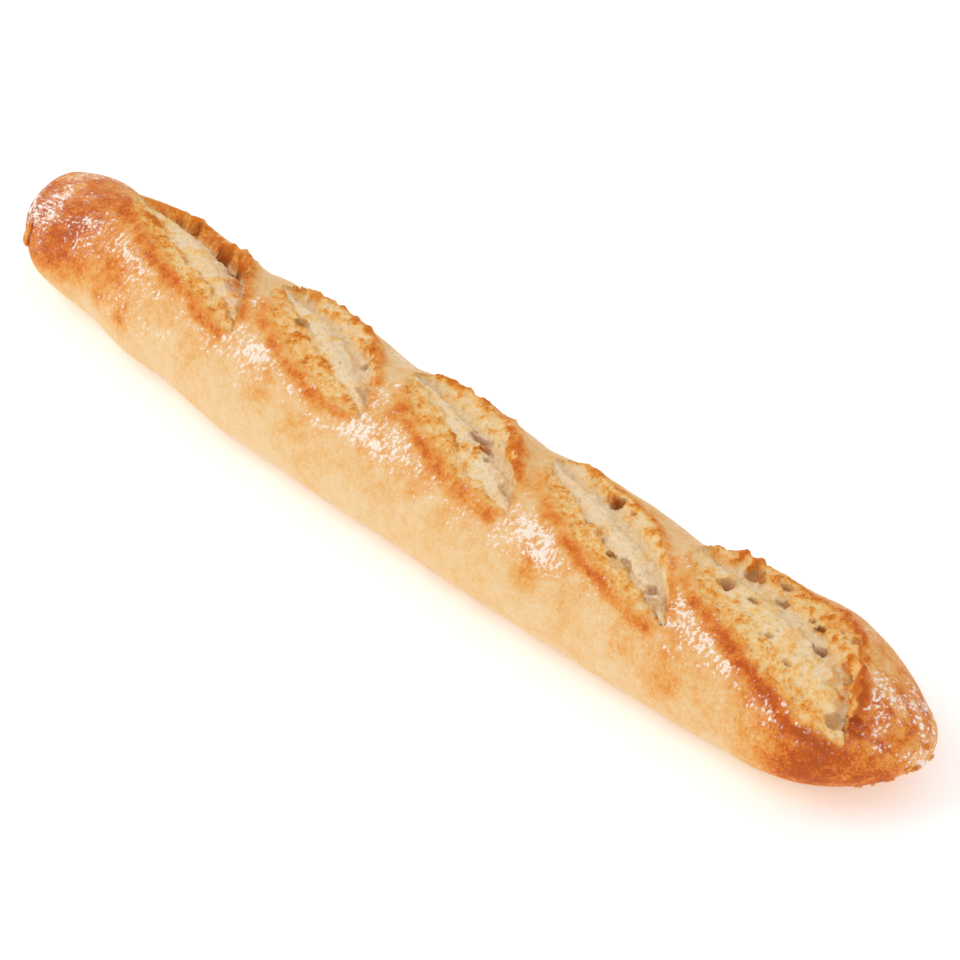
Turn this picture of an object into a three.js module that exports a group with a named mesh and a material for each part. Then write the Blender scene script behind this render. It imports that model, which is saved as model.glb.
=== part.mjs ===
// A baguette: one loaf baked in one piece, with five slashes torn open across its top.
// Millimetres. The length lies along X, the flat base is on z = 0 and +Z is up.
// The front is -Y. Each slash runs from the back left to the front right of the crown.
import * as THREE from 'three';
import { mergeVertices } from 'three/addons/utils/BufferGeometryUtils.js';

// Driving dimensions of the loaf
const loafLength = 480;
const halfWidth = 36;
const crownHeight = 52;
const widestHeight = 22; // the flank is widest at this height over the base
const undersideReach = 1.25; // lower radius over widestHeight; what would lie below z = 0 is flat
const frontBow = 10.5; // the middle of the loaf is this far in front of its two ends
const leftEnd = { power: 4.5, roundness: 3 }; // blunt nose
const rightEnd = { power: 8, roundness: 1.8 }; // tapered tip
const bloom = { x: 188, reach: 34, swell: 4.5 }; // the fifth slash opened widest and spread the loaf

// Slashes: the centre along the loaf and across its centre line, the length from tip to tip, how
// far the near and far lips stand from the cut, the depth, and the rise of the torn ear
const slashTurn = THREE.MathUtils.degToRad(-21);
const slashes = [
  { x: -145, y: 0.5, length: 108, near: 12, far: 17, depth: 6, ear: 6 },
  { x: -58, y: 0, length: 90, near: 14, far: 19, depth: 5, ear: 6 },
  { x: 20, y: 0, length: 88, near: 13, far: 19, depth: 5, ear: 5.5 },
  { x: 97, y: -0.5, length: 96, near: 14, far: 18, depth: 5, ear: 4 },
  { x: 174, y: 0, length: 102, near: 17, far: 21, depth: 4.5, ear: 4.5 },
];
const narrowestLip = 4; // the lips never stand closer than this, so a slash fades out at its tips
const crease = { at: 0.3, width: 0.5, share: 0.5 }; // the deepest line, behind the risen crumb
const earRim = { at: 1.05, width: 0.35, peak: -0.25, reach: 0.6 }; // on the far lip, highest at the back
const frontRidge = { at: -1.1, width: 0.3, rise: 0.8 }; // the near lip stands a little proud

// Mesh density
const rings = 100;
const segments = 32;
const endCrowding = 0.85; // 0 spaces the rings evenly, 1 crowds them into the two ends

const crust = new THREE.MeshStandardMaterial({ color: 0xdba463, roughness: 0.7, metalness: 0 });

const bell = (value, at, width) => Math.exp(-(((value - at) / width) ** 2));

// Share of the full section that is left at u, from -1 at the left tip to 1 at the right tip
function taper(u) {
  const end = u < 0 ? leftEnd : rightEnd;
  return Math.max(1 - Math.abs(u) ** end.power, 0) ** (1 / end.roundness);
}

const centreLineY = (u) => -frontBow * (1 - u * u);

// A unit spindle turned about Y from one tip to the other; its radius is the taper
function spindle() {
  const profile = [];
  for (let ring = 0; ring <= rings; ring++) {
    const even = (2 * ring) / rings - 1;
    const crowded = Math.sin((even * Math.PI) / 2);
    const u = even + (crowded - even) * endCrowding;
    const onAxis = ring === 0 || ring === rings;
    profile.push(new THREE.Vector2(onAxis ? 0 : taper(u), u));
  }
  const geometry = new THREE.LatheGeometry(profile, segments);
  geometry.deleteAttribute('normal');
  geometry.deleteAttribute('uv');
  return mergeVertices(geometry, 1e-6).rotateZ(-Math.PI / 2);
}

// Rise of the crust over the unslashed crown at a place (x, y), with y from the centre line
function slashRise(x, y) {
  let rise = 0;
  for (const slash of slashes) {
    const dx = x - slash.x;
    const dy = y - slash.y;
    const along = (dx * Math.cos(slashTurn) + dy * Math.sin(slashTurn)) / (slash.length / 2);
    const across = dy * Math.cos(slashTurn) - dx * Math.sin(slashTurn);
    const open = Math.max(1 - along * along, 0);
    const lip = Math.max((across < 0 ? slash.near : slash.far) * open, narrowestLip);
    const q = across / lip; // -1 on the near lip, 1 on the far lip
    const hollow = (1 - crease.share) * Math.max(1 - q * q, 0) + crease.share * bell(q, crease.at, crease.width);
    const ear = slash.ear * bell(q, earRim.at, earRim.width) * bell(along, earRim.peak, earRim.reach);
    const ridge = frontRidge.rise * bell(q, frontRidge.at, frontRidge.width);
    rise += open * (ear + ridge - slash.depth * hollow);
  }
  return rise;
}

// Shape the spindle: round crown, fuller flanks, flat base, bowed centre line, slashes
function loafGeometry() {
  const geometry = spindle();
  const position = geometry.getAttribute('position');
  for (let i = 0; i < position.count; i++) {
    const u = position.getX(i);
    const share = Math.hypot(position.getY(i), position.getZ(i));
    const side = share > 0 ? position.getY(i) / share : 0;
    const up = share > 0 ? position.getZ(i) / share : 0;
    const x = (u * loafLength) / 2;
    const y = side * (halfWidth * share + bloom.swell * share * bell(x, bloom.x, bloom.reach));
    const upperRadius = (crownHeight - widestHeight) * share;
    const lowerRadius = widestHeight * undersideReach * share;
    let z = widestHeight + up * (up > 0 ? upperRadius : lowerRadius);
    if (up > 0) z += slashRise(x, y) * Math.min(up * 2, 1);
    position.setXYZ(i, x, y + centreLineY(u), Math.max(z, 0));
  }
  geometry.computeBoundingBox();
  const centre = geometry.boundingBox.getCenter(new THREE.Vector3());
  return geometry.translate(-centre.x, -centre.y, 0);
}

const baguette = new THREE.Group();
const loaf = new THREE.Mesh(loafGeometry(), crust);
loaf.name = 'loaf';
baguette.add(loaf);

export default baguette;
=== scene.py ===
import math

import bmesh
import bpy
import numpy as np
from mathutils import Matrix, Vector, noise


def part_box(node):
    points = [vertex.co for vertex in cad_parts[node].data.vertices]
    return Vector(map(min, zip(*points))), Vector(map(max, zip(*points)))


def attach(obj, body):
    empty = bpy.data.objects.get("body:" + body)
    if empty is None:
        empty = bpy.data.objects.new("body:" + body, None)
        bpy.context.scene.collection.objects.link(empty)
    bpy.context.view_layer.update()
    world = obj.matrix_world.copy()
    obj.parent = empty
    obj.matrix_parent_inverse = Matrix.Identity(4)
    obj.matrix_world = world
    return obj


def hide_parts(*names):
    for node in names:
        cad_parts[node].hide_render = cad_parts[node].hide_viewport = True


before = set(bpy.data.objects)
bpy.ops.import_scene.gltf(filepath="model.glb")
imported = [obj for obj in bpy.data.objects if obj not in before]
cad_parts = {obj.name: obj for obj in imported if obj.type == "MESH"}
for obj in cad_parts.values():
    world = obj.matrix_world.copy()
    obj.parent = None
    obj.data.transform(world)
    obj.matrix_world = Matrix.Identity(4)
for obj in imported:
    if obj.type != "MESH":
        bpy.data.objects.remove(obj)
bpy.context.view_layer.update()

mm = 0.001  # the shape is worked out in millimetres and stored in metres


def bell(value, at, width):
    return np.exp(-(((value - at) / width) ** 2))


def ease(value, low, high):  # 0 below low, 1 above high, smooth between
    t = np.clip((value - low) / (high - low), 0, 1)
    return t * t * (3 - 2 * t)


def grain(points, size, basis="BLENDER", offset=0.0):  # noise at each point, features about size mm across
    scaled = np.asarray(points, float) / size + offset
    return np.array([noise.noise(Vector(p), noise_basis=basis) for p in scaled])


def unit(vectors):
    return vectors / np.maximum(np.linalg.norm(vectors, axis=1, keepdims=True), 1e-9)


# the camera looks down at the front from the right-hand side
view = dict(azimuth=43.8, elevation=42.0, distance=1.29, lens=122.9, aim=(0.0235, 0.0027, 0.025))


def makeCamera():
    az, el = math.radians(view["azimuth"]), math.radians(view["elevation"])
    back = Vector((math.sin(az) * math.cos(el), -math.cos(az) * math.cos(el), math.sin(el)))
    data = bpy.data.cameras.new("camera")
    data.lens = view["lens"]
    data.sensor_width = 36
    camera = bpy.data.objects.new("camera", data)
    camera.location = Vector(view["aim"]) + back * view["distance"]
    camera.rotation_euler = back.to_track_quat("Z", "Y").to_euler()
    bpy.context.scene.collection.objects.link(camera)
    bpy.context.scene.camera = camera


makeCamera()
print("camera placed")

# the loaf's body, millimetres; the girth is measured over the crown, plus towards the back
low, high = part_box("loaf")
body = dict(
    length=(high.x - low.x) / mm,
    halfWidth=36,
    crown=52,  # height of the crown between the slashes
    widest=22,  # height at which the flanks are widest
    under=1.25,  # lower radius as a share of widest; the part below the table is pressed flat
    pressed=1.5,  # softness of the edge of the flat base
    bow=10.5,  # the middle is this far in front of the ends
    leftEnd=(4.7, 3.3),  # how late and how round an end tapers
    rightEnd=(8.0, 1.9),
    girthRadius=33,
    noseIn=1.5,  # the left end stops this short, and its curl of dough reaches the full length
    swells=[  # x, reach along, amount on the front, amount on the back
        (-215, 15, 3.2, 1.0),
        (-176, 20, -3.4, 0.0),
        (-128, 19, -3.6, 0.0),
        (-88, 11, 0.9, 0.0),
        (12, 15, -1.4, 0.0),
        (106, 14, -1.3, 0.0),
        (188, 34, 4.2, 4.5),
        (176, 15, -2.4, 0.0),
        (209, 13, 3.2, 0.5),
    ],
    rises=[  # x, reach, girth, reach over the girth, height: the dips between the ears, and the ends
        (-122, 13, 27, 17, -2.6), (-36, 13, 27, 17, -3.2), (42, 12, 27, 17, -1.4), (118, 13, 27, 17, -3.0),
        (-200, 12, 26, 17, -3.0), (184, 17, 32, 12, 1.6), (-237, 7, 16, 20, 1.8), (236, 7, 14, 16, 2.2),
    ],
    folds=[  # x, girth, half length over the girth, depth: creases low on the front
        (-62, -58, 15, 0.5), (121, -60, 14, 0.8), (131, -64, 10, 0.5), (-6, -40, 7, 0.4),
        (66, -66, 9, 0.35),
    ],
    foldWidth=1.3,
    broadBumps=(42, 0.9),  # size and height of the slow unevenness of the whole skin, then of the finer one
    smallBumps=(16, 0.5),
    trayPitch=6.5,  # the base shows the holes of a baking tray
    trayDepth=0.35,
    rings=240,
    segments=96,
    tipSoft=0.08,  # how gently the rings close up towards a tip
)


def taper(u):
    late = np.where(u < 0, body["leftEnd"][0], body["rightEnd"][0])
    roundness = np.where(u < 0, body["leftEnd"][1], body["rightEnd"][1])
    return np.maximum(1 - np.abs(u) ** late, 0) ** (1 / roundness)


def bodyPoint(x, angle):  # angle goes round the section, a quarter turn at the crown, 0 at the back
    u = np.clip(x / (body["length"] / 2), -1, 1)
    share = taper(u)
    side, up = np.cos(angle), np.sin(angle)
    halfWidth = body["halfWidth"] + 0 * x
    for at, reach, front, back in body["swells"]:
        halfWidth = halfWidth + bell(x, at, reach) * np.where(side < 0, front, back)
    y = side * share * halfWidth + body["bow"] * (u * u - 1)
    upper = (body["crown"] - body["widest"]) * share
    lower = body["widest"] * body["under"] * share
    z = body["widest"] + up * np.where(up > 0, upper, lower)
    z = (z + np.sqrt(z * z + body["pressed"] ** 2)) / 2  # pressed flat, with a soft edge
    return np.stack([x + body["noseIn"] * ease(-x, 195, 240) + 0 * y, y, z], axis=1)


def makeSpindle():  # rings and segments of unit radius round X, with closed tips
    bm = bmesh.new()
    ends = [bm.verts.new((-1, 0, 0)), bm.verts.new((1, 0, 0))]
    row = bm.edges.new(ends)
    bmesh.ops.subdivide_edges(bm, edges=[row], cuts=body["rings"] - 1)
    for vert in bm.verts:
        vert.co.z = 1 if abs(vert.co.x) < 1 - 1e-6 else 0
    bmesh.ops.spin(bm, geom=bm.verts[:] + bm.edges[:], cent=(0, 0, 0), axis=(1, 0, 0), dvec=(0, 0, 0),
                   angle=2 * math.pi, steps=body["segments"], use_merge=True, use_duplicate=False)
    bmesh.ops.remove_doubles(bm, verts=bm.verts[:], dist=1e-5)
    bmesh.ops.recalc_face_normals(bm, faces=bm.faces[:])
    return bm


def readSpindle(coordinates):  # place along the loaf, angle and girth of each vertex
    s = coordinates[:, 0]
    roundness = np.where(s < 0, body["leftEnd"][1], body["rightEnd"][1])
    d, soft = 1 - np.abs(s), body["tipSoft"]
    gap = d ** roundness * (1 + soft ** (roundness - 1)) / (d ** (roundness - 1) + soft ** (roundness - 1))
    u = np.sign(s) * (1 - gap)
    angle = np.arctan2(coordinates[:, 2], coordinates[:, 1])
    angle = np.where(angle < -math.pi / 2, angle + 2 * math.pi, angle)
    return u * body["length"] / 2, angle, body["girthRadius"] * taper(u) * (math.pi / 2 - angle)


# the slashes: start and tip as (x, girth), widths in mm either side of the line between them;
# crease is where the deepest line lies between the lips, drift is how fast it nears the far lip,
# ears are heights of the far lip from start to tip, closing is how early it runs in to the tip;
# bands are shares of the width toasted beside the near lip, pocket the drop from there to the pale tongue;
# wall and gold say how toasted the far wall and the tongue are
slashes = [
    dict(start=(-193, 12), tip=(-93, -19), near=6, far=27.5, closing=0.6,
         bands=(0.30, 0.28, 0.22, 0.24, 0.36, 0.5), crease=0.84, drift=0.0,
         depth=9.0, tongue=0.42, pocket=0.04, ears=(-1.0, 1.4, -1.2, 4.8, 7.4, 0.0),
         undercut=2.5, wall=1.05, gold=0.28),
    dict(start=(-98, 13), tip=(-18, -18), near=11, far=25, closing=0.72,
         bands=(0.40, 0.34, 0.27, 0.27, 0.32, 0.4), crease=0.70, drift=0.1,
         depth=5.5, tongue=0.34, pocket=0.20, ears=(2.6, 2.8, 1.0, 3.0, 2.0, 0.0),
         undercut=1.2, wall=0.54, gold=0.18),
    dict(start=(-20, 13), tip=(62, -19), near=10, far=24, closing=0.78,
         bands=(0.34, 0.32, 0.31, 0.16, 0.14, 0.2), crease=0.60, drift=0.35,
         depth=5.4, tongue=0.36, pocket=0.20, ears=(2.2, 1.8, 1.4, 4.4, 3.0, 0.0),
         undercut=1.0, wall=0.56, gold=0.16),
    dict(start=(55, 14), tip=(143, -24), near=11, far=22, closing=0.82,
         bands=(0.22, 0.25, 0.26, 0.26, 0.30, 0.35), crease=0.66, drift=0.2,
         depth=5.5, tongue=0.40, pocket=0.42, ears=(2.4, 0.0, 0.0, 1.0, 0.7, 0.0),
         undercut=1.0, wall=0.48, gold=0.08),
    dict(start=(127, 12), tip=(222, -23), near=11, far=28, closing=0.6,
         bands=(0.22, 0.22, 0.22, 0.24, 0.26, 0.3), crease=0.60, drift=0.35,
         depth=5.2, tongue=0.26, pocket=0.12, ears=(4.0, 2.0, -1.6, 4.2, 3.8, 0.0),
         undercut=0.8, wall=0.62, gold=0.36),
]
lips = dict(
    overhang=1.3,
    fade=5.0,  # how far behind the far lip its ear still swells the skin
    nearRise=0.8,
    band=0.28,  # shares of the width to which every slash's band edge and crease are moved
    crease=0.72,
)


def lens(s, rise, fall):  # 0 at both ends, 1 at its widest
    s = np.clip(s, 0, 1)
    peak = rise / (rise + fall)
    return s ** rise * (1 - s) ** fall / (peak ** rise * (1 - peak) ** fall)


def slashPlace(cut, x, girth):  # along 0..1, across mm, and both lips' places there
    dx, dg = cut["tip"][0] - cut["start"][0], cut["tip"][1] - cut["start"][1]
    length = math.hypot(dx, dg)
    alongX, alongG = dx / length, dg / length
    s = ((x - cut["start"][0]) * alongX + (girth - cut["start"][1]) * alongG) / length
    across = (girth - cut["start"][1]) * alongX - (x - cut["start"][0]) * alongG
    return s, across, -cut["near"] * lens(s, 0.5, 0.85), cut["far"] * lens(s, 0.45, cut["closing"]), length


def softCurve(value, knots, softness):  # a line through the knots with its corners rounded
    grid = np.linspace(-0.5, 1.5, 801)
    line = np.interp(grid, [k[0] for k in knots], [k[1] for k in knots])
    reach = np.arange(-40, 41) * (grid[1] - grid[0])
    kernel = np.exp(-((reach / softness) ** 2))
    widened = np.pad(line, 40, mode="edge")
    return np.interp(value, grid, np.convolve(widened, kernel / kernel.sum(), mode="valid"))


def alongSlash(s, values):  # six values, a fifth of the way apart from start to tip
    return softCurve(s, [(step * 0.2, value) for step, value in enumerate(values)], 0.06)


def nearSlash(x, girth, margin):
    found = np.zeros(len(x), bool)
    for cut in slashes:
        s, across, nearLip, farLip, length = slashPlace(cut, x, girth)
        reach = margin / length
        beside = (across > nearLip - margin) & (across < farLip + margin * 1.3)
        found |= (s > -reach) & (s < 1 + reach) & beside
    return found


def refine(bm, margin):  # halve every edge in and around the slashes
    bm.verts.ensure_lookup_table()
    coordinates = np.array([v.co for v in bm.verts])
    x, angle, girth = readSpindle(coordinates)
    close = nearSlash(x, girth, margin)
    edges = [e for e in bm.edges if close[e.verts[0].index] and close[e.verts[1].index]]
    bmesh.ops.subdivide_edges(bm, edges=edges, cuts=1, use_grid_fill=True)
    bm.verts.index_update()


def layOut(mesh, s, angle, loose):  # a UV map: the skin in two halves, crown strips above base strips
    loops = np.empty(len(mesh.loops), np.int32)
    mesh.loops.foreach_get("vertex_index", loops)
    starts = np.empty(len(mesh.polygons), np.int32)
    mesh.polygons.foreach_get("loop_start", starts)
    sizes = np.diff(np.append(starts, len(loops)))
    face = np.repeat(np.arange(len(starts)), sizes)
    turn = angle[loops] / (2 * math.pi) + 0.25  # 0..1 round the section, cut under the loaf
    tip = np.abs(s[loops]) > 1 - 1e-6
    guide = np.where(tip, -1.0, turn)
    first = np.maximum.reduceat(guide, starts)[face]
    turn = np.where(tip, first, first + (turn - first + 0.5) % 1.0 - 0.5)
    middle = np.add.reduceat(turn, starts)[face] / sizes[face]
    middleS = np.add.reduceat(s[loops], starts)[face] / sizes[face]
    turn = turn - np.floor(middle)
    middle = middle - np.floor(middle)
    lean = 0.5 + (turn - 0.5) / 0.64  # 0..1 over the crown strip
    crown = np.abs(middle - 0.5) < 0.32
    under = (turn - 0.5) % 1.0
    rest = (under - 0.5) / 0.38 + 0.5
    right = middleS > 0
    u = np.where(right, s[loops], s[loops] + 1) * 0.98 + 0.01
    v = np.where(crown, 0.335 * lean + 0.005, 0.135 * rest + 0.695)
    v = np.where(right, v + np.where(crown, 0.345, 0.145), v)
    if loose.any():  # scraps of crust get a strip of their own
        inStrip = loose[loops]
        u = np.where(inStrip, (s[loops] * 0.9 + 0.05) % 1.0, u)
        v = np.where(inStrip, 0.985 + 0.012 * (angle[loops] % 1.0), v)
    layer = mesh.uv_layers.new(name="OFBake")
    layer.data.foreach_set("uv", np.stack([u, v], axis=1).astype(np.float32).ravel())


spindle = makeSpindle()
refine(spindle, 6.0)
refine(spindle, 2.0)
bmesh.ops.triangulate(spindle, faces=[f for f in spindle.faces if len(f.verts) > 4])
mesh = bpy.data.meshes.new("baguette")
spindle.to_mesh(mesh)
spindle.free()
print("skin laid out:", len(mesh.vertices), "points")

raw = np.empty(len(mesh.vertices) * 3)
mesh.vertices.foreach_get("co", raw)
x, angle, girth = readSpindle(raw.reshape(-1, 3))
skin = np.stack([x, girth, 0 * x], axis=1)

# body with its directions
place = bodyPoint(x, angle)
alongDir = unit(bodyPoint(x + 0.5, angle) - bodyPoint(x - 0.5, angle))
girthDir = unit(bodyPoint(x, angle - 0.01) - bodyPoint(x, angle + 0.01))
outDir = unit(np.cross(alongDir, girthDir))
outDir[np.abs(x) > body["length"] / 2 - 0.5] = 0
(broadSize, broadHeight), (smallSize, smallHeight) = body["broadBumps"], body["smallBumps"]
lift = broadHeight * grain(place, broadSize) + smallHeight * grain(place, smallSize, offset=7)
for at, reach, middle, girthReach, rise in body["rises"]:
    lift += rise * bell(x, at, reach) * bell(girth, middle, girthReach)
lift *= ease(place[:, 2], 1, 12)
for at, middle, reach, depth in body["folds"]:
    slanted = x + 0.12 * (girth - middle) + 1.5 * grain(skin, 12)
    lift -= depth * bell(slanted, at, body["foldWidth"]) * bell(girth, middle, reach)
trayTurn = 2 * math.pi / body["trayPitch"]
scallop = np.cos(x * trayTurn) * np.cos(place[:, 1] * trayTurn)
lift += body["trayDepth"] * scallop * ease(place[:, 2], 9, 1) * ease(np.abs(x), 236, 220)

# slashes
torn, toast, singe, deep, ridge, lumps = (np.zeros(len(x)) for _ in range(6))
tear = np.zeros((len(x), 3))
turnDir = np.zeros((len(x), 3))
for number, cut in enumerate(slashes):
    s, across, nearLip, farLip, length = slashPlace(cut, x, girth)
    wobble = 1.1 * grain(skin, 9, offset=3 * number) + 0.7 * grain(skin, 3.2, offset=5 * number)
    across = across + wobble * ease(lens(s, 0.5, 0.5), 0, 0.4)
    width = np.maximum(farLip - nearLip, 0.5)
    w = (across - nearLip) / width
    inS = (s > 0) & (s < 1)
    opened = ease(lens(s, 0.5, 0.5), 0.0, 0.55) * inS
    # the band's edge and the deepest line are moved to fixed shares, so one profile serves the whole slash
    band, crease = lips["band"], lips["crease"]
    bandEdge = alongSlash(s, cut["bands"])
    deepest = np.clip(cut["crease"] + cut["drift"] * np.clip(s - 0.45, 0, 1), 0.3, 0.9)
    nearPart = w * band / bandEdge
    middlePart = band + (w - bandEdge) * (crease - band) / np.maximum(deepest - bandEdge, 0.05)
    farPart = crease + (w - deepest) * (1 - crease) / (1 - deepest)
    p = np.where(w < bandEdge, nearPart, np.where(w < deepest, middlePart, farPart))
    depth, back = cut["depth"], 1 - crease
    uneven = p + 0.05 * grain(skin, 7, offset=21) + 0.03 * grain(skin, 2.4, offset=23)
    floor = softCurve(uneven, [
        (-0.5, 0), (0.0, 0), (0.05, -0.05 * depth), (band, -0.20 * depth),
        (band + 0.05, -(cut["tongue"] + cut["pocket"]) * depth),
        ((band + crease) / 2, -cut["tongue"] * depth),
        (crease - 0.10, -(cut["tongue"] + 0.22) * depth), (crease - 0.02, -depth),
        (crease + 0.03, -depth), (crease + 0.35 * back, -0.45 * depth),
        (crease + 0.8 * back, -0.05 * depth), (1.0, 0), (1.5, 0)], 0.018)
    earRise = alongSlash(s, cut["ears"])
    earAlong = np.clip(earRise / 3, 0, 1)
    ragged = 1 + 0.48 * grain(skin, 5.0, offset=11) + 0.20 * grain(skin, 2.2, offset=13)
    beyond = across - farLip
    fading = np.exp(-((np.maximum(beyond, 0) / lips["fade"]) ** 2))
    ear = softCurve(p, [(-0.5, 0), (crease, 0), (crease + 0.35 * back, 0.25), (1, 1), (1.5, 1)], 0.02)
    nearRidge = lips["nearRise"] * bell(across - nearLip, -1.0, 2.2) * opened
    lean = softCurve(p, [
        (-0.5, 0), (crease - 0.15, 0), (crease - 0.02, 0.8), (crease + 0.1 * back, 1.0),
        (crease + 0.6 * back, 0.3), (1.0, 0), (1.5, 0)], 0.02)
    hook = softCurve(p, [(-0.5, 0), (crease + 0.4 * back, 0), (1, 1), (1.5, 1)], 0.02) * fading
    lift += floor * opened + nearRidge + earRise * ragged * ear * fading * ease(s, -0.10, 0.08)
    slide = cut["undercut"] * lean * opened * (0.6 + 0.8 * earAlong)
    slide -= lips["overhang"] * hook * earAlong * inS
    dx, dg = cut["tip"][0] - cut["start"][0], cut["tip"][1] - cut["start"][1]
    acrossDir = unit(girthDir * (dx / length) - alongDir * (dg / length))
    turnDir += acrossDir * slide[:, None]
    soft = 1.3 * grain(skin, 3.0, offset=27)
    inside = ease(across - nearLip + soft, -1.2, 2.2) * ease(farLip - across + soft, -1.2, 1.6)
    inside = inside * ease(opened, 0.02, 0.3)
    torn = np.maximum(torn, inside)
    browned = softCurve(uneven, [
        (-0.5, 0.74), (0.0, 0.74), (0.07, 0.60), (band, 0.52), (band + 0.03, 0.46),
        (band + 0.08, cut["gold"]), (crease - 0.06, cut["gold"] - 0.04), (crease + 0.03, 0.16),
        (crease + 0.25 * back, 0.8 * cut["wall"]), (crease + 0.75 * back, cut["wall"]),
        (1, 0.85), (1.5, 0.9)], 0.02)
    nearby = ease(across - nearLip, -6, -4) * ease(farLip - across, -6, -4)
    nearby = nearby * ease(s, -0.08, -0.04) * ease(s, 1.08, 1.04)
    toast = np.maximum(toast, browned * nearby)
    onSlash = np.stack([s * length + 200 * number, across, 0 * s], axis=1)
    tear = np.where((inside > 0)[:, None], onSlash, tear)
    # the deepest line of each slash, where the crust material paints shade
    deep = np.maximum(deep, bell(uneven, crease + 0.02, 0.05) * opened)
    wallPart = ease(p, crease + 0.15 * back, crease + 0.6 * back)
    wallPart = wallPart * np.exp(-((np.maximum(beyond, 0) / 2.5) ** 2))
    lumps = np.maximum(lumps, wallPart * (0.25 + earAlong) * opened)
    rimLine = bell(beyond, 1.0, 2.6) * np.clip(0.35 + 0.9 * earAlong, 0, 1) * opened
    nearLine = bell(across - nearLip, -3.0, 2.8) * ease(lens(s, 0.6, 0.35), 0.15, 0.8) * inS
    singe = np.maximum(singe, np.maximum(rimLine, nearLine))
    besideLip = np.exp(-np.maximum(nearLip - across, 0) / 9)
    ridge = np.maximum(ridge, besideLip * ease(lens(s, 0.6, 0.35), 0, 0.6) * inS)

place = place + outDir * lift[:, None] + turnDir


def normalsOf(points):
    mesh.vertices.foreach_set("co", (points * mm).ravel())
    mesh.update()
    found = np.empty(len(points) * 3)
    mesh.vertex_normals.foreach_get("vector", found)
    return found.reshape(-1, 3)


# holes in the torn crumb: x, girth, half length, half width, depth, and how brown the inside is painted,
# from grey shade of the pits to dark brown; the brown is toasting and painted shade
holes = [
    (-140, 18, 5.0, 3.2, 4.8, 1.0), (-163, 25, 3.0, 2.0, 3.0, 1.0), (-173, 24, 3.4, 2.0, 2.6, 0.7),
    (-126, 12, 2.4, 2.0, 3.0, 1.0), (-110, 2, 1.3, 1.2, 2.0, 0.6), (-99, -8, 1.2, 1.0, 2.4, 0.6),
    (-73, 3, 3.2, 2.4, 5.0, 0.9), (-28, -7, 3.4, 1.8, 1.4, 0.0), (-40, 5, 2.4, 1.3, 2.4, 0.3),
    (-60, 9, 2.0, 1.0, 1.4, 0.2), (-84, 17, 3.0, 2.2, 1.8, 0.1),
    (25, 5, 4.8, 2.3, 2.4, 1.0), (32, 1, 2.8, 1.7, 2.0, 1.0), (19, 8, 1.2, 1.0, 1.0, 1.0),
    (-11, 17, 3.4, 2.2, 2.6, 0.1), (52, -10, 4.0, 1.8, 1.6, 0.0), (36, -2, 1.2, 1.0, 1.6, 0.3),
    (86, 17, 3.0, 2.8, 5.0, 0.9), (89, -3, 1.8, 0.9, 2.0, 0.8), (97, -6, 1.4, 0.9, 2.4, 0.9),
    (106, -10, 1.8, 1.3, 3.6, 1.0), (113, -10, 4.0, 2.2, 2.4, 0.0), (128, -14, 2.4, 2.0, 4.0, 0.4),
    (134, -17, 4.0, 1.8, 1.4, 0.0), (96, 14, 1.2, 0.8, 1.4, 0.7),
    (149, 20, 4.4, 3.2, 5.0, 0.6), (148, 5, 3.6, 3.0, 4.2, 0.8), (161, 4, 2.6, 1.2, 2.8, 0.8),
    (166, 13, 3.0, 1.4, 2.8, 0.7), (186, 8, 2.4, 1.0, 3.4, 1.0), (193, 2, 3.0, 1.5, 3.4, 0.7),
    (181, 11, 1.4, 1.0, 2.0, 0.5), (209, -3, 3.0, 1.8, 2.8, 0.3), (162, 21, 2.6, 1.6, 2.6, 0.8),
    (201, 9, 1.8, 1.4, 2.2, 0.3), (216, -16, 3.4, 3.0, 3.6, 0.2), (222, -13, 3.2, 3.2, 4.4, 0.3),
    (189, -10, 1.8, 1.2, 1.6, 0.3), (176, -5, 1.6, 1.1, 1.6, 0.3),
]
holeShape = dict(steepness=0.4, rim=0.4, rimWidth=0.14, bumpy=0.22, bumpSize=2.5, darkeningReach=1.35)


def pressHoles(points, normals):
    hollow, pale = np.zeros(len(points)), np.zeros(len(points))
    bumpy = holeShape["bumpy"] * grain(points, holeShape["bumpSize"], offset=2)
    for holeX, holeG, half, halfWide, depth, brownness in holes:
        nearest = np.argmin((x - holeX) ** 2 + (girth - holeG) ** 2)
        middle, inward = points[nearest], -normals[nearest]
        flat = unit((alongDir[nearest] - inward * (alongDir[nearest] @ inward))[None])[0]
        offset = points - middle
        along = offset @ inward
        side = np.hypot(offset @ flat / half, offset @ np.cross(inward, flat) / halfWide)
        side = side * (1 + bumpy)
        close = (side < 1.5) & (np.abs(along) < 1.6 * half)
        bowl = np.clip(1 - side ** 2, 0, 1) ** holeShape["steepness"] * close
        rim = holeShape["rim"] * bell(side, 1.1, holeShape["rimWidth"]) * close
        points = points + inward * (depth * bowl - rim)[:, None]
        spread = np.hypot((x - holeX) / half, (girth - holeG) / halfWide)
        # the hole's darkening, toasting and painted shade, spreads a little past its bowl
        holeDarkening = np.clip(holeShape["darkeningReach"] - spread, 0, 1)
        hollow = np.maximum(hollow, np.maximum(bowl, holeDarkening) * brownness)
        # holes that are not brown get painted shade, the tone of the pits, in their bowls
        pale = np.maximum(pale, bowl * (1 - brownness))
    return points, hollow, pale


normals = normalsOf(place)
place, hollow, palePit = pressHoles(place, normals)
print("slashes opened")

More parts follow.
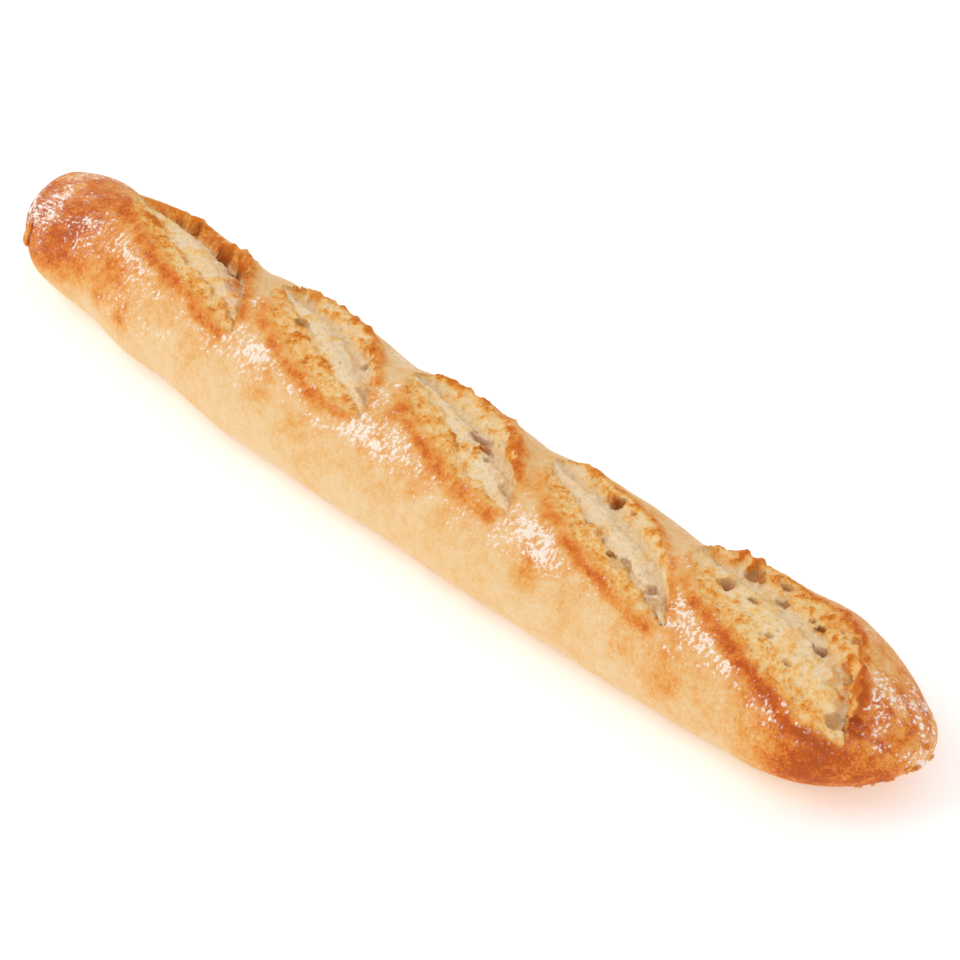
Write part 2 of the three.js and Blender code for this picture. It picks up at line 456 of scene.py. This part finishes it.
# rough crumb with strands pulled across the slash, ragged rims; heights in mm
crumbRelief = dict(
    knobs=0.42,  # toasted crumb, from coarse to fine
    grit=0.32,
    cells=0.20,
    proud=0.08,
    strands=0.34,  # crumb that stayed pale
    sheets=0.5,
    fineGrit=0.22,
    pores=0.9,
    lumps=(1.3, 0.7),  # the wall under the far lip
    rims=(0.30, 0.15),
)
normals = normalsOf(place)
lace = np.array([noise.voronoi(Vector(p / 2.2))[0] for p in place])
cells = np.clip((lace[:, 1] - lace[:, 0]) * 2.0, 0, 1)
strands = grain(tear * (0.7, 0.28, 0), 1.0, offset=31) + 0.6 * grain(tear * (1.6, 0.55, 0), 1.0, offset=37)
sheets = grain(tear * (0.16, 0.06, 0), 1.0, offset=41)
bubbles = [noise.voronoi(Vector(p / 3.3 + 5)) for p in place]
pores = np.array([d[0] if noise.cell(q[0] * 9.7) > 0.1 else 1.0 for d, q in bubbles])
pores = ease(pores, 0.34, 0.12)
coarse = torn * ease(toast, 0.12, 0.5)
smooth = torn - coarse
bigLumps, smallLumps = crumbRelief["lumps"]
bigRims, smallRims = crumbRelief["rims"]
fuzz = coarse * (
    crumbRelief["knobs"] * grain(place, 3.6) + crumbRelief["grit"] * grain(place, 1.2, offset=3)
    - crumbRelief["cells"] * cells + crumbRelief["proud"])
fuzz += smooth * (
    crumbRelief["strands"] * strands + crumbRelief["sheets"] * sheets
    + crumbRelief["fineGrit"] * grain(place, 1.1, offset=4))
fuzz -= torn * (1.0 + 0.2 * coarse) * pores * crumbRelief["pores"]
fuzz += lumps * (bigLumps * grain(place, 6.5, offset=53) + smallLumps * grain(place, 3.0, offset=57))
fuzz += singe * (bigRims * grain(place, 3.0, offset=17) + smallRims * grain(place, 1.3, offset=19))
place = place + normals * fuzz[:, None]
toast = np.clip(toast + torn * np.clip(fuzz * 0.7, -0.2, 0.35), 0, 1)

caramelSpots = [  # x, girth, reach, amount, where a torn edge caught the heat
    (-172, 7, 3.0, 0.7), (-167, 6, 3.4, 0.7), (-158, 1, 2.6, 0.4), (-161, -3, 2.4, 0.35),
    (-49, -6, 3.4, 0.4), (-66, -2, 3, 0.35), (24, -4, 3.2, 0.45), (31, -4, 2.6, 0.45),
    (17, -2, 2.0, 0.45), (-2, -5, 2.0, 0.45), (30, 0, 2.4, 0.5), (82, 18, 3.0, 0.5),
    (96, -2, 3.0, 0.3), (205, 0, 4.0, 0.3), (213, -8, 4.5, 0.3), (190, 12, 6.0, 0.2),
]
for spotX, spotG, reach, amount in caramelSpots:
    patchy = bell(np.hypot(x - spotX, girth - spotG), 0, reach) * (1 + 0.8 * grain(place, 1.6, offset=61))
    toast = np.clip(toast + amount * patchy * torn, 0, 1)
    hollow = np.clip(hollow + 0.5 * amount * np.clip(patchy - 0.35, 0, 1) * torn, 0, 1)

# settle on the table, centred on the frame's box
place[:, 2] -= place[:, 2].min()
boxMiddle = (low + high) / 2 / mm
place[:, 1] += boxMiddle.y - (place[:, 1].max() + place[:, 1].min()) / 2
normals = normalsOf(place)

# scraps: a curl of dough on the left end, flakes along the base of the right end
scraps = [  # x, girth, half sizes outwards, along and over the girth, turn on the skin, stand-off
    (-222, -29, (1.3, 2.1, 5.4), 0.25, 1.1),
    (236, -34, (0.6, 1.9, 0.9), 0.4, 0.3), (238, -22, (0.7, 1.6, 1.0), 1.1, 0.3),
    (239, -10, (0.7, 1.6, 1.1), 0.2, 0.4), (232, -44, (0.6, 1.8, 0.8), -0.5, 0.3),
    (226, -50, (0.6, 2.0, 0.8), 0.3, 0.3), (239, 3, (0.6, 1.5, 1.0), 0.9, 0.4),
    (229, -47, (0.8, 1.2, 0.7), 0.7, 0.3), (238, 16, (0.6, 1.7, 1.0), 1.8, 0.3),
    (234, -40, (0.6, 1.3, 0.8), 1.4, 0.4),
]
scrapShape = dict(unevenness=0.4, curl=0.16, baked=0.62)


def addScrap(bm, x0, girth0, size, turn, standOff, seed):
    nearest = np.argmin((x - x0) ** 2 + (girth - girth0) ** 2)
    out = Vector(normals[nearest])
    over = out.cross(Vector(alongDir[nearest])).normalized()
    axes = Matrix((out, over.cross(out), over)).transposed() @ Matrix.Rotation(turn, 3, "X")
    middle = Vector(place[nearest]) + out * standOff
    made = bmesh.ops.create_icosphere(bm, subdivisions=3, radius=1.0)["verts"]
    for vert in made:
        shape = Vector(vert.co)
        swell = 1 + scrapShape["unevenness"] * noise.noise(shape * 1.3 + Vector((seed, 0, 0)))
        local = Vector((shape.x * size[0], shape.y * size[1], shape.z * size[2])) * swell
        local.x -= scrapShape["curl"] * local.z * local.z / size[2]
        vert.co = (middle + axes @ local) * mm
    return len(made)


bm = bmesh.new()
bm.from_mesh(mesh)
extra = 0
for seed, scrap in enumerate(scraps):
    extra += addScrap(bm, *scrap, seed)
bm.to_mesh(mesh)
bm.free()


def padded(values, filler):  # the scraps' share of a list kept for each point
    return np.concatenate([values, np.full((extra,) + values.shape[1:], filler)])


scrapPlace = np.empty(len(mesh.vertices) * 3)
mesh.vertices.foreach_get("co", scrapPlace)
scrapPlace = scrapPlace.reshape(-1, 3)[-extra:]
loose = padded(np.zeros(len(x), bool), True)
spin = padded(angle, 0.0)
spin[-extra:] = scrapPlace[:, 2] * 20
along = padded(raw.reshape(-1, 3)[:, 0], 0.0)
along[-extra:] = scrapPlace[:, 1] * 8 + 0.5
layOut(mesh, along, spin, loose)

loaf = bpy.data.objects.new("baguette", mesh)
bpy.context.scene.collection.objects.link(loaf)
for face in mesh.polygons:
    face.use_smooth = True

# browning of the crust and where the flour lies
flourSpots = [  # x, girth, reach of the thicker dustings
    (-167, -10, 7), (-143, -13, 7), (-78, -25, 11), (-72, -15, 8), (-2, -19, 12), (10, -17, 8),
    (81, -22, 9), (86, -16, 7), (112, -24, 8), (158, -20, 11), (180, -24, 9), (139, 0, 9), (131, 4, 9),
    (224, 7, 9), (222, -1, 7), (209, 30, 10), (200, 18, 9), (146, -12, 8),
]
blotches = [  # x, girth, reach, amount of the darker spots on the front
    (-167, -40, 4, 0.30), (-150, -42, 5, 0.36), (-38, -8, 6, 0.2), (82, -32, 5, 0.34),
    (-8, -10, 4, 0.3), (129, -37, 6, 0.22), (20, -30, 5, 0.2), (-64, -30, 6, 0.2),
    (103, -40, 4, 0.15), (-110, -36, 6, 0.15), (150, -38, 7, 0.2),
]
tipSeams = [(-4, 0.2), (12, -0.5), (-20, 0.5), (27, -0.9)]  # girth and slope of creases at the right tip
leftNose, rightNose = ease(-x, 170, 226), ease(x, 196, 236)


def baking():  # how far each point is baked, 0 pale to 1 dark
    crownward = ease(np.abs(girth), 62, 20)
    above = ease(np.sin(angle), -1.0, -0.6)  # fades what differs from front to back before they meet below
    amount = 0.10 + 0.07 * crownward + 0.16 * ridge + 0.12 * bell(girth, -20, 13)
    amount += 0.16 * above * ease(-x, 120, 165) * ease(girth, -52, -30)
    amount += 0.56 * above * ease(-x, 160, 212) * ease(girth, -64, -26) * (1 - 0.22 * ease(girth, -5, 20))
    amount += 0.22 * above * ease(x, 120, 185) * ease(girth, -66, -40) * (1 - rightNose)
    amount += rightNose * (0.50 - 0.08 * bell(girth, 10, 22))
    amount += 0.42 * above * ease(x, 180, 212) * ease(-girth, 14, 38)
    amount += 0.50 * ease(np.abs(girth), 72, 92)
    amount -= 0.10 * leftNose * (ease(girth, -22, 0) + ease(girth, -36, -50))
    amount += 0.22 * bell(x, -172, 32) * bell(girth, -23, 15) - 0.04 * ease(girth, 10, 25) * (1 - torn)
    for blotchX, blotchG, reach, dark in blotches:
        amount += dark * bell(np.hypot(x - blotchX, 0.6 * (girth - blotchG)), 0, reach)
    seams = np.zeros(len(x))
    for seamG, slope in tipSeams:
        line = bell(girth - seamG - slope * (x - 215), 0, 1.0)
        seams = np.maximum(seams, line * ease(x, 216, 224) * ease(x, 239, 234))
    amount += 0.3 * seams
    amount -= 0.10 * bell(girth, 14, 12) * (1 - torn) * ease(np.abs(x + 20), 190, 150)
    return np.clip(amount, 0, 1)


def dusting():  # how much flour lies on each point
    amount = 0.95 * bell(girth, -21, 14) + 0.62 * bell(girth, 2, 14) + 0.85 * bell(girth, 34, 15)
    for patchX, patchG, reach in flourSpots:
        amount += 0.22 * bell(np.hypot(x - patchX, girth - patchG), 0, reach)
    amount = np.maximum(amount, np.maximum(leftNose, rightNose) * bell(girth, 12, 24))
    amount = amount * (1 - torn) * (1 - 0.6 * singe)
    amount *= 1 - 0.7 * rightNose * ease(-girth, 8, 22)
    amount *= 1 - 0.25 * bell(x, -165, 45) * ease(-girth, 14, 24)
    amount += 0.64 * bell(x, -142, 28) * bell(girth, -40, 9) + 0.35 * bell(x, 205, 16) * bell(girth, -24, 9)
    return np.clip(amount, 0, 1.2)


marks = dict(
    torn=torn, toast=toast, singe=singe, deep=deep, hollow=hollow, palePit=palePit, pore=pores * torn,
    nose=leftNose, tip=ease(np.abs(x), 224, 234), bake=baking(), flour=dusting())
for name, values in marks.items():
    values = padded(values, scrapShape["baked"] if name == "bake" else 0.0)
    mesh.attributes.new(name, "FLOAT", "POINT").data.foreach_set("value", values.astype(np.float32))
for name, values in dict(tear=tear, skin=skin).items():
    values = padded(values, 0.0).astype(np.float32)
    mesh.attributes.new(name, "FLOAT_VECTOR", "POINT").data.foreach_set("vector", values.ravel())
print("crust marked:", sum(len(f.vertices) - 2 for f in mesh.polygons), "triangles")


# materials
class Wire:  # a shader value that ordinary maths works on
    def __init__(self, recipe, socket):
        self.recipe, self.socket = recipe, socket

    def maths(self, operation, first, second, clamp=False):
        settings = dict(operation=operation, use_clamp=clamp)
        return self.recipe.node("ShaderNodeMath", settings, {0: first, 1: second})

    def __add__(self, other):
        return self.maths("ADD", self, other)

    def __sub__(self, other):
        return self.maths("SUBTRACT", self, other)

    def __rsub__(self, other):
        return self.maths("SUBTRACT", other, self)

    def __mul__(self, other):
        return self.maths("MULTIPLY", self, other)

    def clamped(self):
        return self.maths("ADD", self, 0.0, clamp=True)

    __radd__ = __add__
    __rmul__ = __mul__


class Recipe:  # a material and the nodes in it
    def __init__(self, name):
        self.material = bpy.data.materials.new(name)
        self.material.use_nodes = True
        self.tree = self.material.node_tree
        self.tree.nodes.clear()

    def node(self, kind, settings=None, inputs=None, out=0):
        made = self.tree.nodes.new(kind)
        for name, value in (settings or {}).items():
            if name == "stops":
                while len(made.color_ramp.elements) < len(value):
                    made.color_ramp.elements.new(1.0)
                for element, (at, tone) in zip(made.color_ramp.elements, value):
                    element.position = at
                    element.color = tone
            else:
                setattr(made, name, value)
        for key, value in (inputs or {}).items():
            if isinstance(value, Wire):
                self.tree.links.new(value.socket, made.inputs[key])
            else:
                made.inputs[key].default_value = value
        return Wire(self, made.outputs[out]) if made.outputs else None

    def mark(self, name):
        return self.node("ShaderNodeAttribute", dict(attribute_name=name), out="Fac")

    def field(self, name):  # a mark with three parts
        return self.node("ShaderNodeAttribute", dict(attribute_name=name), out="Vector")

    def noise(self, vector, scale, detail=2.0, roughness=0.5):
        return self.node("ShaderNodeTexNoise", None, {
            "Vector": vector, "Scale": scale, "Detail": detail, "Roughness": roughness})

    def cells(self, vector, scale, feature="F1"):
        return self.node("ShaderNodeTexVoronoi", dict(feature=feature), {"Vector": vector, "Scale": scale})

    def stretch(self, vector, scale, turn=0.0):
        return self.node("ShaderNodeMapping", None, {
            "Vector": vector, "Rotation": (0, 0, math.radians(turn)), "Scale": (*scale, 1.0)})

    def blend(self, amount, first, second):
        return self.node("ShaderNodeMix", dict(data_type="RGBA"), {0: amount, 6: first, 7: second}, out=2)

    def ramp(self, value, stops):
        return self.node("ShaderNodeValToRGB", dict(stops=stops), {"Fac": value})

    def step(self, value, low, high):  # 0 below low, 1 above high
        return self.node("ShaderNodeMapRange", dict(interpolation_type="SMOOTHSTEP"),
                         {"Value": value, "From Min": low, "From Max": high})


def tone(code):  # a colour from its hex code
    parts = [int(code[i:i + 2], 16) / 255 for i in (1, 3, 5)]
    linear = [p / 12.92 if p <= 0.04045 else ((p + 0.055) / 1.055) ** 2.4 for p in parts]
    return (*linear, 1.0)


crustTones = dict(
    pale="#EECE9E", cream="#ECBE80", gold="#E9A351", brown="#DF8029", dark="#C6590C", burnt="#B2500F",
    # the grey crumb tone is painted shade in the crease and pores, and grey streaks on the strands
    crumb="#FCE1B9", crumbShadeAndStreak="#E6CAA2", laceLight="#FBD08A", lace="#F4A84A", laceDark="#D66F12",
    # the hollow tone is toasting, and painted shade inside holes; the tone of the pits is painted shade in
    # pits and pinholes
    hollow="#A24604", pitShade="#CE9F68", flour="#FEF0E2",
)


crustFinish = dict(
    mottling=0.9,
    singed=0.36,
    flourFrom=0.505,  # the flour mask's value at which flour starts, and at which it covers
    flourTo=0.585,
    haze=0.12,  # thin flour between the strokes
    strokes=(0.62, 0.33),  # flour strokes per mm along the loaf and over the girth
    strokeTurn=-14,
    noseStrokes=(0.22, 0.9),
    roughness=0.60,
    tornRoughness=0.25,
    flourRoughness=0.25,
    bumpStrength=0.6,
    bumpDistance=0.0011,
)


def makeCrust():
    recipe = Recipe("crust")
    colour = {name: tone(code) for name, code in crustTones.items()}
    where = recipe.node("ShaderNodeTexCoord", out="Object")
    mark = recipe.mark
    # crust: browning with mottling at four scales
    broad = recipe.noise(where, 45, 3)
    spots = recipe.noise(where, 190, 3, 0.6)
    fine = recipe.noise(where, 700, 3, 0.6)
    speckle = recipe.noise(where, 1500, 2, 0.6)
    blisters = recipe.cells(where, 620.0, "SMOOTH_F1")
    mottling = (broad + spots + fine - 1.5) * crustFinish["mottling"] + (speckle - 0.5) * 0.5
    baked = mark("bake") + mottling * (0.5 + mark("bake") * 0.8)
    baked = baked + mark("singe") * (crustFinish["singed"] + (spots - 0.5) * 0.4)
    crust = recipe.ramp((baked * 0.8).clamped(), [
        (0.0, colour["pale"]), (0.2, colour["cream"]), (0.4, colour["gold"]),
        (0.6, colour["brown"]), (0.8, colour["dark"]), (1.0, colour["burnt"])])
    # torn crumb: cream where it stayed low, toasted where it stands up; painted shade in its crease, pores,
    # pits and holes
    laceNoise = recipe.noise(where, 520, 4, 0.7)
    flecks = recipe.noise(where, 1300, 3, 0.7)
    strands = recipe.noise(recipe.stretch(recipe.field("tear"), (1.5, 0.45)), 1.0, 3, 0.6)
    grainy = (laceNoise - 0.5) * 0.9 + (spots - 0.5) * 0.8 + (flecks - 0.5) * 1.3
    toasted = mark("toast") + grainy * (0.26 + mark("toast") * 0.5)
    crumb = recipe.ramp(toasted.clamped(), [
        (0.0, colour["crumb"]), (0.16, colour["crumb"]), (0.42, colour["laceLight"]),
        (0.70, colour["lace"]), (1.0, colour["laceDark"])])
    stayedLow = ((0.5 - mark("toast")) * 2.6).clamped()  # the strands' grey streaks show only on crumb that stayed low
    # greying: painted shade along the deepest crease and in the pores, and grey streaks on the strands
    shadeAndStreaks = (mark("deep") * 0.5 + mark("pore") * 0.4 + (strands - 0.46) * 2.4 * stayedLow).clamped()
    crumb = recipe.blend(shadeAndStreaks * 0.8, crumb, colour["crumbShadeAndStreak"])
    # tiny pores and pale pits take the tone of the pits: painted shade in them
    pinholes = recipe.step(0.27 - recipe.cells(where, 640.0), 0.0, 0.1) * recipe.step(laceNoise, 0.44, 0.56)
    crumb = recipe.blend(pinholes * 0.5, crumb, colour["pitShade"])
    crumb = recipe.blend(mark("palePit") * 0.45, crumb, colour["pitShade"])
    # holes and caramel spots take the dark hollow tone: toasting, and painted shade inside the holes
    crumb = recipe.blend((mark("hollow") * 0.88).clamped(), crumb, colour["hollow"])
    surface = recipe.blend(mark("torn"), crust, crumb)
    # flour: short strokes over the girth, lengthwise on the left end, crumbly at both tips
    skinMap = recipe.field("skin")
    strokes = recipe.noise(
        recipe.stretch(skinMap, crustFinish["strokes"], crustFinish["strokeTurn"]), 1.0, 3, 0.6)
    lengthwise = recipe.noise(recipe.stretch(skinMap, crustFinish["noseStrokes"]), 1.0, 3, 0.6)
    strokes = strokes + (lengthwise - strokes) * mark("nose")
    strokes = strokes + (recipe.noise(where, 420, 3, 0.6) - strokes) * mark("tip")
    patches = recipe.noise(where, 80, 2)
    untorn = 1 - mark("torn")
    amount = strokes * 0.62 + fine * 0.5 - 0.06 + (patches - 0.5) * 0.45 + (mark("flour") - 1.0) * 0.30
    dusted = recipe.step(amount, crustFinish["flourFrom"], crustFinish["flourTo"]) * untorn
    haze = recipe.step(amount, 0.38, 0.58) * untorn * (1 - mark("singe"))
    haze = haze * (crustFinish["haze"] + mark("nose") * 0.12)
    grains = recipe.step(0.30 - recipe.cells(where, 480.0), 0.0, 0.08) * recipe.step(amount, 0.40, 0.48)
    floury = dusted * (0.3 + speckle * 0.9) + haze + grains * untorn * 0.42
    surface = recipe.blend(floury.clamped(), surface, colour["flour"])
    # relief
    crustRelief = spots * 0.5 + fine * 0.35 + speckle * 0.12 + (1 - blisters) * 0.2
    tornRelief = laceNoise * 1.0 + flecks * 0.5 + strands * 0.7 - pinholes * 0.6
    height = crustRelief * untorn + tornRelief * mark("torn")
    bump = recipe.node("ShaderNodeBump", None, {
        "Strength": crustFinish["bumpStrength"], "Distance": crustFinish["bumpDistance"], "Height": height})
    rough = crustFinish["roughness"] + mark("torn") * crustFinish["tornRoughness"]
    rough = rough + dusted * crustFinish["flourRoughness"]
    shader = recipe.node("ShaderNodeBsdfPrincipled", None, {
        "Base Color": surface, "Roughness": rough, "Normal": bump,
        "Subsurface Weight": 0.12, "Subsurface Radius": (1.0, 0.5, 0.22), "Subsurface Scale": 0.003,
        "Specular IOR Level": 0.25})
    recipe.node("ShaderNodeOutputMaterial", None, {"Surface": shader})
    return recipe.material


mesh.materials.append(makeCrust())
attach(loaf, "root")
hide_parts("loaf")
print("crust material made")

# floor and light
room = dict(
    floorSize=4.0,
    floorTone="#FFFFFF",
    glow=0.19,  # the floor's own light, which keeps it white around the loaf
    key=dict(place=(-0.9, -0.9, 1.6), power=9.5),
    fill=dict(place=(1.3, -0.6, 1.1), power=1.7),
    lightSize=1.2,
    sky=0.78,
)


def makeFloor():
    bm = bmesh.new()
    bmesh.ops.create_grid(bm, x_segments=1, y_segments=1, size=room["floorSize"] / 2)
    floorMesh = bpy.data.meshes.new("floor")
    bm.to_mesh(floorMesh)
    bm.free()
    floor = bpy.data.objects.new("floor", floorMesh)
    bpy.context.scene.collection.objects.link(floor)
    recipe = Recipe("paleFloor")
    shader = recipe.node("ShaderNodeBsdfPrincipled", None, {
        "Base Color": tone(room["floorTone"]), "Roughness": 0.9, "Specular IOR Level": 0.1,
        "Emission Color": (1, 1, 1, 1), "Emission Strength": room["glow"]})
    recipe.node("ShaderNodeOutputMaterial", None, {"Surface": shader})
    floorMesh.materials.append(recipe.material)


def makeLight(name, place, power):  # an area light that faces the origin
    data = bpy.data.lights.new(name, "AREA")
    data.size = room["lightSize"]
    data.energy = power
    light = bpy.data.objects.new(name, data)
    light.location = place
    light.rotation_euler = Vector(place).to_track_quat("Z", "Y").to_euler()
    bpy.context.scene.collection.objects.link(light)


makeFloor()
makeLight("key", **room["key"])
makeLight("fill", **room["fill"])
world = bpy.data.worlds.new("studio")
world.use_nodes = True
sky = world.node_tree.nodes["Background"]
sky.inputs["Color"].default_value = (1, 1, 1, 1)
sky.inputs["Strength"].default_value = room["sky"]
bpy.context.scene.world = world
bpy.context.scene.view_settings.view_transform = "Standard"
print("studio lit")
